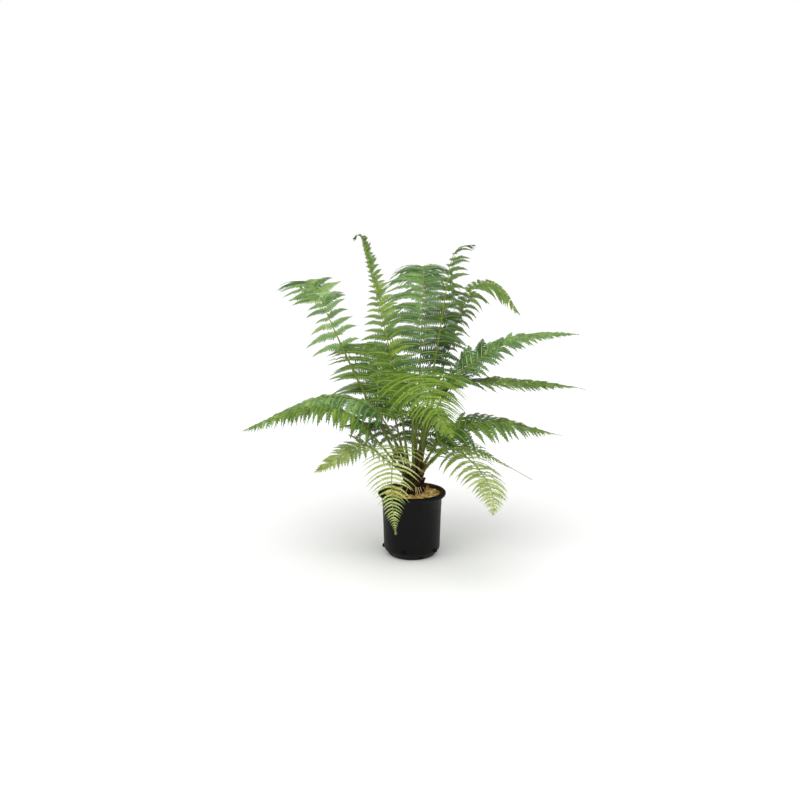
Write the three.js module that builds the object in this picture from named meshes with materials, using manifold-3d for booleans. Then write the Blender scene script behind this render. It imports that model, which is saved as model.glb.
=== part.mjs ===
// A young tree fern in a round nursery pot.
// Millimetres, +Z up. The origin is the centre of the pot's flat underside, +Y points to the back.
import * as THREE from "three";
import Module from "manifold-3d";
import { mergeVertices } from "three/addons/utils/BufferGeometryUtils.js";

const wasm = await Module();
wasm.setup();

// ---- Driving dimensions -------------------------------------------------------------------

const GAP = 0.3; // clearance between pieces that touch

const POT = {
  height: 240,
  rimRadius: 125, // over the rolled rim
  rimHeight: 18,
  lip: 3, // chamfer round the rim's edges
  wallTop: 110, // outer radius under the rim
  wallFoot: 103, // outer radius above the chamfer
  footHeight: 26, // height of the chamfer at the bottom
  footRadius: 84, // radius of the flat underside
  wall: 2.6,
  segments: 36,
  drainHoles: 5,
  drainRadius: 8,
  lug: { reach: 6, width: 16, height: 12, count: 5 }, // blocks moulded on the chamfer's upper edge
};

const SOIL = { below: 30, segments: 24 }; // level of the root ball under the rim
const MULCH = { depth: 14, mound: 8, collar: 20 }; // thickness, its rise to the trunk, and flat ring there

const TRUNK = { x: 4, y: 0, height: 84, foot: 44, waist: 34, top: 37, sides: 14, rings: 7 };

// The stalks' feet stand on two rings inside the trunk's top, young fronds on the inner one.
const CROWN = { inner: 14, outer: 29.5, sink: 16 };
const HOOK_FROM = 0.93; // share of a frond's length at which its end starts to curl

const STALK = { foot: 5.6, neck: 3.6, sides: 5, ringStep: 38 };

const BLADE = {
  ribNeck: 3.2, // half width of the rib at the blade's start
  ribTip: 0.9, // half width where the tail starts
  ribDepth: 0.62, // the rib's height as a share of its width
  firstPitch: 40, // spacing of the leaflets at the blade's start
  lastPitch: 15, // and at its tip
  tail: 0.08, // share of the blade that is its bare tail
  widest: 0.22, // place of the longest leaflets, as a share of the blade
  startWidth: 0.3, // how much shorter the first leaflets are than the longest
  rollFrom: 0.3, // places along the blade between which it rolls about its rib
  rollTo: 0.9,
};

// How long the leaflets on either hand are along the blade, against the blade's own outline.
const EVEN = [[1], [1]];

// One row per frond.
// ring, foot: where it stands on the trunk. heading: seen from above, 0 to the right, 90 to the back.
// lean, tip: angle from the vertical at the foot and at the tip. bend: shares of the length between
// which it turns from one to the other. sway: turn of the heading along the frond. hook: how far its
// very end curls. bare: share of the length that is stalk. spread: longest leaflet. taper: above 1
// narrows early. sag: how far leaflets hang. roll: turn of the blade about its rib, and forward:
// angle of the leaflets towards the tip, both at the blade's start and at its tip.
// hands: length of the leaflets on the left and on the right, from the blade's start to its tip.
// parts: pieces the blade is made in, split halfway.
const FRONDS = [
  { name: "tall_left", ring: "inner", foot: 165, heading: 166, lean: 7, tip: 17, bend: [0, 0.85],
    sway: -24, hook: 125, length: 925, bare: 0.28, spread: 105, taper: 0.5, sag: 0.3,
    roll: [-62, 0], forward: [14, 46], hands: [[0.9, 1.05, 0.3, 0.15], [1, 0.9, 0.9, 1.2]],
    parts: 1 },
  { name: "back_crest", ring: "inner", foot: 100, heading: 74, lean: 18, tip: 128, bend: [0.45, 1.05],
    sway: 26, hook: 0, length: 1120, bare: 0.3, spread: 185, taper: 0.32, sag: 0.4,
    roll: [0, 0], forward: [8, 16], hands: EVEN, parts: 2 },
  { name: "right_arch", ring: "outer", foot: 63, heading: 58, lean: 24, tip: 145, bend: [0.66, 0.92],
    sway: -52, hook: 0, length: 1000, bare: 0.34, spread: 125, taper: 0.6, sag: 0.6,
    roll: [0, 50], forward: [14, 30], hands: [[1.25, 0.9, 0.15], [0.35, 0.45, 1.3, 0.7]], parts: 2 },
  { name: "tall_back", ring: "inner", foot: 52, heading: 50, lean: 16, tip: 88, bend: [0.72, 0.92],
    sway: 12, hook: 0, length: 1025, bare: 0.42, spread: 95, taper: 0.7, sag: 0.4,
    roll: [0, 0], forward: [14, 46], hands: [[0.7, 0.4, 0], [1, 1.1]], parts: 1 },
  { name: "left_upper", ring: "outer", foot: 155, heading: 164, lean: 29, tip: 114, bend: [0.8, 1.0],
    sway: -30, hook: 0, length: 892, bare: 0.58, spread: 165, taper: 0.25, sag: 0.25,
    roll: [-62, 0], forward: [4, 24], hands: [[1.1, 0.4, 0.95, 1], [0.6, 0.5, 0.8, 0.8]], parts: 2 },
  { name: "left_back", ring: "outer", foot: 132, heading: 124, lean: 24, tip: 115, bend: [0.3, 1.05],
    sway: -6, hook: 0, length: 770, bare: 0.26, spread: 190, taper: 0.8, sag: 0.3,
    roll: [0, 0], forward: [14, 36], hands: [[1.15, 1.15], [1, 1]], parts: 2 },
  { name: "left_long", ring: "outer", foot: 178, heading: 181, lean: 16, tip: 114, bend: [0.08, 0.75],
    sway: 3, hook: 0, length: 785, bare: 0.28, spread: 145, taper: 0.9, sag: 0.75,
    roll: [-10, -6], forward: [8, 32], hands: [[1, 1], [0.9, 1]], parts: 2 },
  { name: "left_low", ring: "outer", foot: 201, heading: 193, lean: 38, tip: 104, bend: [0.3, 0.85],
    sway: 0, hook: 0, length: 620, bare: 0.26, spread: 120, taper: 0.9, sag: 0.6,
    roll: [-6, -4], forward: [10, 34], hands: EVEN, parts: 2 },
  { name: "front_left", ring: "outer", foot: 224, heading: 212, lean: 51, tip: 113, bend: [0.42, 0.62],
    sway: 0, hook: 0, length: 440, bare: 0.22, spread: 92, taper: 0.9, sag: 0.15,
    roll: [-22, -26], forward: [10, 40], hands: EVEN, parts: 1 },
  { name: "front_drooping", ring: "outer", foot: 255, heading: 250, lean: 34, tip: 141, bend: [0.05, 0.76],
    sway: 35, hook: 0, length: 620, bare: 0.24, spread: 145, taper: 1.1, sag: 0.25,
    roll: [0, 0], forward: [6, 28], hands: EVEN, parts: 2 },
  { name: "front_right", ring: "outer", foot: 306, heading: 316, lean: 46, tip: 105, bend: [0.15, 0.45],
    sway: -60, hook: 0, length: 690, bare: 0.16, spread: 135, taper: 1.0, sag: 0.3,
    roll: [-6, -10], forward: [10, 30], hands: [[0.5, 1.1, 1, 1, 1], [0.5, 1.1, 1, 1, 1]], parts: 2 },
  { name: "right_low", ring: "outer", foot: 335, heading: 340, lean: 32, tip: 115, bend: [0.04, 0.65],
    sway: 0, hook: 0, length: 490, bare: 0.18, spread: 85, taper: 1.4, sag: 0.2,
    roll: [8, 6], forward: [30, 56], hands: [[1, 1, 0.5, 0.15], [1, 1, 0.5, 0.15]], parts: 1 },
  { name: "right_middle", ring: "outer", foot: 357, heading: 1, lean: 8, tip: 103, bend: [-0.15, 0.75],
    sway: 4, hook: 0, length: 620, bare: 0.2, spread: 120, taper: 1.0, sag: 0.3,
    roll: [22, 14], forward: [14, 44], hands: [[1, 1, 1, 0.9, 0.3], [1.1, 1.1, 1.1, 1, 0.3]], parts: 2 },
  { name: "right_level", ring: "inner", foot: 5, heading: 10, lean: 11, tip: 93, bend: [0.26, 0.52],
    sway: -20, hook: 15, length: 865, bare: 0.32, spread: 120, taper: 0.8, sag: 0.15,
    roll: [10, 12], forward: [34, 48],
    hands: [[0.9, 0.9, 1.2, 0.9, 0.2], [0.8, 0.8, 0.9, 0.7, 0.2]], parts: 2 },
  { name: "right_rising", ring: "outer", foot: 19, heading: 7, lean: 0, tip: 97, bend: [-0.15, 1.13],
    sway: 0, hook: 0, length: 885, bare: 0.34, spread: 120, taper: 1.0, sag: 0.25,
    roll: [24, 20], forward: [22, 48], hands: [[1.1, 1], [0.8, 0.8]], parts: 2 },
  { name: "front_arch", ring: "inner", foot: 285, heading: 262, lean: 20, tip: 131, bend: [0.48, 0.7],
    sway: 50, hook: 0, length: 750, bare: 0.4, spread: 215, taper: 1.0, sag: 0.3,
    roll: [0, 0], forward: [4, 34], hands: EVEN, parts: 2 },
  { name: "back_left_low", ring: "outer", foot: 109, heading: 132, lean: 36, tip: 104, bend: [0.1, 0.8],
    sway: 8, hook: 0, length: 460, bare: 0.3, spread: 110, taper: 1.0, sag: 0.5,
    roll: [0, 0], forward: [14, 44], hands: EVEN, parts: 1 },
  { name: "back_low", ring: "outer", foot: 86, heading: 80, lean: 40, tip: 118, bend: [0.1, 0.9],
    sway: -6, hook: 0, length: 600, bare: 0.2, spread: 150, taper: 1.1, sag: 0.5,
    roll: [0, 0], forward: [14, 44], hands: EVEN, parts: 1 },
  { name: "back_right_low", ring: "outer", foot: 41, heading: 28, lean: 34, tip: 102, bend: [0.2, 0.9],
    sway: 0, hook: 0, length: 380, bare: 0.22, spread: 110, taper: 1.1, sag: 0.4,
    roll: [10, 6], forward: [14, 44], hands: EVEN, parts: 1 },
];

// Coiled young fronds in the crown: foot on the trunk, lean, height of the coil's foot and its turns.
const CROZIERS = [
  { name: "left", foot: [228, 14], heading: 205, lean: 22, length: 178, coil: 400, from: 0.45, radius: 7 },
  { name: "middle", foot: [0, 0], heading: 330, lean: 4, length: 150, coil: 380, from: 0.46, radius: 6 },
];

// ---- Small helpers ------------------------------------------------------------------------

const radians = (degrees) => THREE.MathUtils.degToRad(degrees);
const mix = THREE.MathUtils.lerp;
const smooth = THREE.MathUtils.smoothstep;

function paint(color, roughness) {
  return new THREE.MeshStandardMaterial({ color, roughness, metalness: 0 });
}

const PAINT = {
  pot: paint(0x1c1d20, 0.45),
  soil: paint(0x4a3626, 0.95),
  mulch: paint(0xa3814c, 0.95),
  trunk: paint(0x2c1f16, 0.95),
  crozier: paint(0x5a3a22, 0.9),
  stalk: paint(0x66702e, 0.6),
  blade: paint(0x4f8a35, 0.55),
};

const fern = new THREE.Group();
const placed = []; // closed solids already in the plant, for keeping clear of them

function toManifold(geometry) {
  const bare = geometry.clone();
  bare.deleteAttribute("normal");
  bare.deleteAttribute("uv");
  const merged = mergeVertices(bare, 1e-3);
  return new wasm.Manifold(
    new wasm.Mesh({
      numProp: 3,
      vertProperties: merged.attributes.position.array,
      triVerts: new Uint32Array(merged.index.array),
    }),
  );
}

function fromManifold(manifold) {
  const mesh = manifold.getMesh();
  const geometry = new THREE.BufferGeometry();
  geometry.setAttribute("position", new THREE.BufferAttribute(mesh.vertProperties, 3));
  geometry.setIndex(new THREE.BufferAttribute(mesh.triVerts, 1));
  return geometry;
}

function place(name, geometry, material) {
  const mesh = new THREE.Mesh(geometry, material);
  mesh.name = name;
  fern.add(mesh);
  placed.push(toManifold(geometry));
}

// A closed geometry from its corner points and triangles.
function closedGeometry(points, triangles) {
  const geometry = new THREE.BufferGeometry().setFromPoints(points);
  geometry.setIndex(triangles.flat());
  return geometry;
}

function boxesMeet(a, b, margin) {
  const [p, q] = [a.boundingBox(), b.boundingBox()];
  return [0, 1, 2].every((k) => p.min[k] < q.max[k] + margin && q.min[k] < p.max[k] + margin);
}

function staysClear(piece, others) {
  return others.every((other) => !boxesMeet(piece, other, GAP) || piece.minGap(other, GAP) >= GAP);
}

// A LatheGeometry turned to stand on Z, from rows of [radius, height] that run anticlockwise.
function lathe(profile, segments) {
  const points = profile.map(([radius, height]) => new THREE.Vector2(radius, height));
  return new THREE.LatheGeometry(points, segments).rotateX(Math.PI / 2);
}

// ---- Pot, root ball and mulch --------------------------------------------------------------

function wallRadius(height) {
  return mix(POT.wallFoot, POT.wallTop, (height - POT.footHeight) / (POT.height - POT.footHeight));
}

function potShell() {
  const rimFoot = POT.height - POT.rimHeight;
  const bore = wallRadius(POT.height) - POT.wall;
  const profile = [
    [0, 0],
    [POT.footRadius, 0],
    [POT.wallFoot, POT.footHeight],
    [wallRadius(rimFoot), rimFoot],
    [POT.rimRadius - POT.lip, rimFoot],
    [POT.rimRadius, rimFoot + POT.lip],
    [POT.rimRadius, POT.height - POT.lip],
    [POT.rimRadius - POT.lip, POT.height],
    [bore + 2 * POT.lip, POT.height],
    [bore, POT.height - 2 * POT.lip],
    [POT.wallFoot - POT.wall, POT.footHeight + 1],
    [POT.footRadius - 1, POT.wall],
    [0, POT.wall],
  ];
  let shell = toManifold(lathe(profile, POT.segments));
  const { reach, width, height, count } = POT.lug;
  for (let i = 0; i < count; i++) {
    const rooted = reach + POT.wall - GAP; // the block starts inside the wall
    const block = new THREE.BoxGeometry(rooted, width, height);
    block.translate(POT.wallFoot + reach - rooted / 2, 0, POT.footHeight + height / 4);
    block.rotateZ(radians(180 + (360 * i) / count));
    shell = shell.add(toManifold(block));
  }
  for (let i = 0; i < POT.drainHoles; i++) {
    const drill = new THREE.CylinderGeometry(POT.drainRadius, POT.drainRadius, 4 * POT.drainRadius, 8);
    drill.rotateZ(Math.PI / 2);
    drill.translate((POT.footRadius + POT.wallFoot) / 2, 0, POT.footHeight / 2);
    drill.rotateZ(radians(180 + (360 * (i + 0.5)) / POT.drainHoles));
    shell = shell.subtract(toManifold(drill));
  }
  return fromManifold(shell);
}

const soilTop = POT.height - SOIL.below;
const mulchRim = soilTop + GAP + MULCH.depth;
const mulchTop = mulchRim + MULCH.mound;

// Inner radius of the pot, less the clearance a piece inside it keeps.
function boreRadius(height) {
  const facet = Math.cos(Math.PI / POT.segments);
  return (wallRadius(height) - POT.wall) * facet - GAP - 1;
}

function rootBall() {
  const profile = [
    [0, POT.wall + GAP],
    [POT.footRadius - 5, POT.wall + GAP],
    [boreRadius(POT.footHeight) - 1, POT.footHeight + 2],
    [boreRadius(soilTop) - 1, soilTop],
    [0, soilTop],
  ];
  return lathe(profile, SOIL.segments);
}

function mulch() {
  const profile = [
    [0, soilTop + GAP],
    [boreRadius(soilTop) - 1, soilTop + GAP],
    [boreRadius(mulchRim) - 1, mulchRim],
    [TRUNK.foot + MULCH.collar, mulchTop],
    [0, mulchTop],
  ];
  return lathe(profile, SOIL.segments);
}

// ---- Trunk ------------------------------------------------------------------------------------

const trunkFoot = mulchTop + GAP;
const trunkTop = trunkFoot + TRUNK.height;

// The trunk flares at the soil, narrows to a waist and swells under the crown, with uneven sides.
function trunk(grown) {
  const geometry = new THREE.CylinderGeometry(1, 1, 1, TRUNK.sides, TRUNK.rings);
  geometry.rotateX(Math.PI / 2);
  const position = geometry.attributes.position;
  const point = new THREE.Vector3();
  for (let i = 0; i < position.count; i++) {
    point.fromBufferAttribute(position, i);
    const rise = point.z + 0.5;
    const turn = Math.atan2(point.y, point.x);
    const flare = mix(TRUNK.waist, TRUNK.foot, (1 - rise) ** 2.5);
    const body = mix(flare, TRUNK.top, rise ** 3);
    const uneven = 1 + 0.06 * Math.sin(3 * turn + 5 * rise) + 0.04 * Math.sin(5 * turn - 7 * rise);
    const reach = Math.hypot(point.x, point.y) * (body * uneven + grown);
    const height = mix(trunkFoot, trunkTop + grown, rise);
    position.setXYZ(i, TRUNK.x + reach * Math.cos(turn), TRUNK.y + reach * Math.sin(turn), height);
  }
  return geometry;
}

// ---- Ribs and stalks ----------------------------------------------------------------------------

// A point of the crown, from its angle and its distance from the trunk's middle.
function crownPoint(angle, radius, height) {
  const turn = radians(angle);
  return new THREE.Vector3(
    TRUNK.x + radius * Math.cos(turn),
    TRUNK.y + radius * Math.sin(turn),
    height,
  );
}

// The course of a rib from its foot: tiltAt and headingAt give its direction along the length.
class Course {
  constructor(foot, length, tiltAt, headingAt) {
    Object.assign(this, { length, tiltAt, headingAt });
    const steps = 160;
    const point = foot.clone();
    this.points = [point.clone()];
    for (let i = 0; i < steps; i++) {
      point.addScaledVector(this.direction((i + 0.5) / steps), length / steps);
      this.points.push(point.clone());
    }
  }

  direction(share) {
    const tilt = radians(this.tiltAt(share));
    const turn = radians(this.headingAt(share));
    const flat = Math.sin(tilt);
    return new THREE.Vector3(flat * Math.cos(turn), flat * Math.sin(turn), Math.cos(tilt));
  }

  point(share) {
    const step = Math.min(share, 1) * (this.points.length - 1);
    const before = Math.min(Math.floor(step), this.points.length - 2);
    return this.points[before].clone().lerp(this.points[before + 1], step - before);
  }

  // Along the rib, to its left, and out of the leaf's upper face.
  axes(share) {
    const along = this.direction(share);
    const turn = radians(this.headingAt(share));
    const side = new THREE.Vector3(-Math.sin(turn), Math.cos(turn), 0);
    const face = along.clone().cross(side).normalize();
    return { along, side, face };
  }
}

// A tapering limb: a cylinder whose rings are carried along a course.
function limb(course, from, to, radiusAt, sides, rings) {
  const geometry = new THREE.CylinderGeometry(1, 1, 1, sides, rings);
  geometry.rotateX(Math.PI / 2);
  const position = geometry.attributes.position;
  const local = new THREE.Vector3();
  for (let i = 0; i < position.count; i++) {
    local.fromBufferAttribute(position, i);
    const share = mix(from, to, local.z + 0.5);
    const { side, face } = course.axes(share);
    const radius = radiusAt(share);
    const corner = course.point(share);
    corner.addScaledVector(side, -local.y * radius).addScaledVector(face, local.x * radius);
    position.setXYZ(i, corner.x, corner.y, corner.z);
  }
  return geometry;
}

// The part of a limb that stands out of the trunk.
function outOfTrunk(geometry) {
  const pieces = toManifold(geometry).subtract(trunkGrown).decompose();
  pieces.sort((a, b) => b.volume() - a.volume());
  return fromManifold(pieces[0]);
}

function frondCourse(frond) {
  const foot = crownPoint(frond.foot, CROWN[frond.ring], trunkTop - CROWN.sink);
  const curl = (share) => frond.hook * smooth(share, HOOK_FROM, 1);
  const tiltAt = (share) => mix(frond.lean, frond.tip, smooth(share, ...frond.bend)) + curl(share);
  const headingAt = (share) => frond.heading + frond.sway * share ** 1.5;
  return new Course(foot, frond.length, tiltAt, headingAt);
}

// ---- Blades -------------------------------------------------------------------------------------

// Place along the blade, 0 at its start and 1 at its tip.
function bladeShare(frond, share) {
  return (share - frond.bare) / (1 - frond.bare);
}

// Leaflet length along the blade, as a share of the longest.
function outline(frond, share) {
  const rise = 1 - BLADE.startWidth * (1 - smooth(share, 0, BLADE.widest));
  return rise * (1 - Math.max(0, (share - BLADE.widest) / (1 - BLADE.widest)) ** 1.4) ** frond.taper;
}

// Shares of the frond's length at which the leaflets part, from the blade's start to its tail.
function stations(frond) {
  const blade = frond.length * (1 - frond.bare);
  const found = [];
  let along = 0;
  while (along < blade * (1 - BLADE.tail)) {
    found.push(frond.bare + along / frond.length);
    along += mix(BLADE.firstPitch, BLADE.lastPitch, (along / blade) ** 0.8);
  }
  return found;
}

// The four corners of the flat rib's section, anticlockwise seen from the tip.
function ribSection(course, frond, share, nudge) {
  const { along, side, face } = course.axes(share);
  const half = mix(BLADE.ribNeck, BLADE.ribTip, bladeShare(frond, share));
  const centre = course.point(share).addScaledVector(along, nudge);
  const corner = (s, f) =>
    centre.clone().addScaledVector(side, s * half).addScaledVector(face, f * half * BLADE.ribDepth);
  return [corner(1, 1), corner(-1, 1), corner(-1, -1), corner(1, -1)];
}

// A value at a place from 0 to 1 along a list of evenly spaced ones.
function valueAt(list, u) {
  const step = u * (list.length - 1);
  const before = Math.min(Math.floor(step), Math.max(list.length - 2, 0));
  return mix(list[before], list[Math.min(before + 1, list.length - 1)], step - before);
}

function leafletTip(course, frond, share, hand, shorter) {
  const { along, side, face } = course.axes(share);
  const u = bladeShare(frond, share);
  const roll = radians(mix(...frond.roll, smooth(u, BLADE.rollFrom, BLADE.rollTo)));
  const forward = radians(mix(...frond.forward, u));
  const direction = side.multiplyScalar(Math.cos(roll)).addScaledVector(face, Math.sin(roll));
  direction.multiplyScalar(hand * Math.cos(forward)).addScaledVector(along, Math.sin(forward));
  direction.z -= frond.sag;
  const reach = frond.spread * outline(frond, u) * valueAt(frond.hands[hand > 0 ? 0 : 1], u);
  return course.point(share).addScaledVector(direction.normalize(), reach * shorter);
}

// A leaflet's own solid, used to see whether it keeps clear of what is already placed.
function leafletSolid(base, tip) {
  const sides = base.map((_, k) => [k, (k + 1) % 4, 4]);
  return toManifold(closedGeometry([...base, tip], [[3, 2, 1], [3, 1, 0], ...sides]));
}

// One piece of a blade: a flat rib with a pointed leaflet on each side of every bay. A leaflet
// that would run into another piece is made shorter, and left out when it still would.
function bladePiece(course, frond, list, first, last, others) {
  const closesAtTip = last === list.length - 1;
  const points = [];
  const triangles = [];
  const quad = (a, b, c, d) => triangles.push([a, b, c], [a, c, d]);
  const addSection = (share, nudge) => points.push(...ribSection(course, frond, share, nudge)) - 4;
  let before = addSection(list[first], GAP / 2);
  quad(before, before + 3, before + 2, before + 1);
  for (let i = first; i < last; i++) {
    const split = i + 1 === last && !closesAtTip;
    const after = addSection(list[i + 1], split ? -GAP / 2 : 0);
    quad(before, before + 1, after + 1, after);
    quad(before + 2, before + 3, after + 3, after + 2);
    for (const hand of [1, -1]) {
      const corners =
        hand > 0
          ? [before + 3, before, after, after + 3]
          : [before + 1, before + 2, after + 2, after + 1];
      const base = corners.map((k) => points[k]);
      const tips = [1, 0.85, 0.7, 0.5, 0.3].map((shorter) =>
        leafletTip(course, frond, (list[i] + list[i + 1]) / 2, hand, shorter),
      );
      const tip = tips.find((point) => staysClear(leafletSolid(base, point), others));
      if (!tip) {
        quad(...corners);
        continue;
      }
      points.push(tip);
      corners.forEach((k, n) => triangles.push([k, corners[(n + 1) % 4], points.length - 1]));
    }
    before = after;
  }
  if (closesAtTip) {
    points.push(course.point(1));
    const end = points.length - 1;
    for (let k = 0; k < 4; k++) triangles.push([before + k, before + ((k + 1) % 4), end]);
  } else {
    quad(before, before + 1, before + 2, before + 3);
  }
  return closedGeometry(points, triangles);
}

// ---- The plant ------------------------------------------------------------------------------------

place("pot", potShell(), PAINT.pot);
place("root_ball", rootBall(), PAINT.soil);
place("mulch", mulch(), PAINT.mulch);
place("trunk", trunk(0), PAINT.trunk);
const trunkGrown = toManifold(trunk(GAP));

for (const crozier of CROZIERS) {
  const foot = crownPoint(...crozier.foot, trunkTop - CROWN.sink);
  const curl = (share) => Math.max(0, (share - crozier.from) / (1 - crozier.from)) ** 1.5;
  const tiltAt = (share) => crozier.lean + crozier.coil * curl(share);
  const course = new Course(foot, crozier.length, tiltAt, () => crozier.heading);
  const radiusAt = (share) => crozier.radius * mix(1, 0.42, share);
  const geometry = limb(course, 0, 1, radiusAt, 6, 22);
  place(`crozier_${crozier.name}`, outOfTrunk(geometry), PAINT.crozier);
}

const grown = FRONDS.map((frond, index) => {
  const number = String(index + 1).padStart(2, "0");
  return { frond, name: `frond_${number}_${frond.name}`, course: frondCourse(frond) };
});

for (const { frond, name, course } of grown) {
  const radiusAt = (share) => mix(STALK.foot, STALK.neck, share / frond.bare);
  const rings = Math.ceil((frond.length * frond.bare) / STALK.ringStep);
  const end = frond.bare - GAP / 2 / frond.length;
  const geometry = limb(course, 0, end, radiusAt, STALK.sides, rings);
  place(`${name}_stalk`, outOfTrunk(geometry), PAINT.stalk);
}

// The ribs come first, so that the leaflets can keep clear of all of them.
const ribs = grown.map(({ frond, course }) => {
  const list = stations(frond);
  const halfAt = (share) => mix(BLADE.ribNeck, BLADE.ribTip, bladeShare(frond, share));
  return toManifold(limb(course, list[0], 1, halfAt, 4, list.length));
});

grown.forEach(({ frond, name, course }, index) => {
  const list = stations(frond);
  const otherRibs = ribs.filter((_, k) => k !== index);
  for (let k = 0; k < frond.parts; k++) {
    const first = Math.round(((list.length - 1) * k) / frond.parts);
    const last = Math.round(((list.length - 1) * (k + 1)) / frond.parts);
    const others = [...placed, ...otherRibs];
    const suffix = frond.parts > 1 ? `_blade_${k + 1}` : "_blade";
    place(name + suffix, bladePiece(course, frond, list, first, last, others), PAINT.blade);
  }
});

export default fern;
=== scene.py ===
"""A young tree fern in a black nursery pot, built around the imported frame.

Metres, +Z up, the origin at the centre of the pot's flat underside. Every piece is one rigid
body with the pot. Fronds follow the same courses as the frame's solids.
"""

import math

import bmesh
import bpy
import numpy as np
from mathutils import Euler, Matrix, Vector, noise


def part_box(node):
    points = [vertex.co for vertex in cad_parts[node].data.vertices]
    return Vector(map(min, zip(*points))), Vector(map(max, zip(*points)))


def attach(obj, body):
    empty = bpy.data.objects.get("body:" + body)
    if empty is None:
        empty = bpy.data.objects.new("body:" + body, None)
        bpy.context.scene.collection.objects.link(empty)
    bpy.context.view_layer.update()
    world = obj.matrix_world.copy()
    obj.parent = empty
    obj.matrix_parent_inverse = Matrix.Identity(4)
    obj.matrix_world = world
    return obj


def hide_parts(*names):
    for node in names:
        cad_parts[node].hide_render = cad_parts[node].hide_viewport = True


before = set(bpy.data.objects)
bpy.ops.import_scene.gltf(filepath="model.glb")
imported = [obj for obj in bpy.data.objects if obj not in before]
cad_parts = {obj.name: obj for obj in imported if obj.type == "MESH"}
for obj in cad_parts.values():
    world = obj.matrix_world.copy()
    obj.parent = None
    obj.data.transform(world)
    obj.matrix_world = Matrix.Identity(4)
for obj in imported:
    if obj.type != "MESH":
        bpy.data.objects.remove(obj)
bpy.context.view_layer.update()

bl_info = {
    "name": "Potted tree fern",
    "version": (1, 0, 0),
    "blender": (4, 5, 0),
    "location": "View3D > Sidebar > Tree fern",
    "description": "Builds a young tree fern in a nursery pot, piece by piece",
    "category": "Add Mesh",
}

MM = 0.001
BODY = "root"
WORLD_UP = np.array((0.0, 0.0, 1.0))

# One row per frond, in the frame's own terms: ring and foot place it on the trunk, heading is seen
# from above, lean and tip are angles from the vertical, bend is where it turns from one to the
# other, sway turns the heading, hook curls its very end, and bare is the stalk's share.
FROND_FIELDS = "name ring foot heading lean tip bend sway hook length bare".split()
FROND_ROWS = (
    ("tall_left", "inner", 165, 166, 7, 17, (0, 0.85), -24, 125, 925, 0.28),
    ("back_crest", "inner", 100, 74, 18, 128, (0.45, 1.05), 26, 0, 1120, 0.3),
    ("right_arch", "outer", 63, 58, 24, 145, (0.66, 0.92), -52, 0, 1000, 0.34),
    ("tall_back", "inner", 52, 50, 16, 88, (0.72, 0.92), 12, 0, 1025, 0.42),
    ("left_upper", "outer", 155, 164, 29, 114, (0.8, 1.0), -30, 0, 892, 0.58),
    ("left_back", "outer", 132, 124, 24, 115, (0.3, 1.05), -6, 0, 770, 0.26),
    ("left_long", "outer", 178, 181, 16, 114, (0.08, 0.75), 3, 0, 785, 0.28),
    ("left_low", "outer", 201, 193, 38, 104, (0.3, 0.85), 0, 0, 620, 0.26),
    ("front_left", "outer", 224, 212, 51, 113, (0.42, 0.62), 0, 0, 440, 0.22),
    ("front_drooping", "outer", 255, 250, 34, 141, (0.05, 0.76), 35, 0, 620, 0.24),
    ("front_right", "outer", 306, 316, 46, 105, (0.15, 0.45), -60, 0, 690, 0.16),
    ("right_low", "outer", 335, 340, 32, 115, (0.04, 0.65), 0, 0, 490, 0.18),
    ("right_middle", "outer", 357, 1, 8, 103, (-0.15, 0.75), 4, 0, 620, 0.2),
    ("right_level", "inner", 5, 10, 11, 93, (0.26, 0.52), -20, 15, 865, 0.32),
    ("right_rising", "outer", 19, 7, 0, 97, (-0.15, 1.13), 0, 0, 885, 0.34),
    ("front_arch", "inner", 285, 262, 20, 131, (0.48, 0.7), 50, 0, 750, 0.4),
    ("back_left_low", "outer", 109, 132, 36, 104, (0.1, 0.8), 8, 0, 460, 0.3),
    ("back_low", "outer", 86, 80, 40, 118, (0.1, 0.9), -6, 0, 600, 0.2),
    ("back_right_low", "outer", 41, 28, 34, 102, (0.2, 0.9), 0, 0, 380, 0.22),
)
FRONDS = [dict(zip(FROND_FIELDS, row)) for row in FROND_ROWS]

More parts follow.
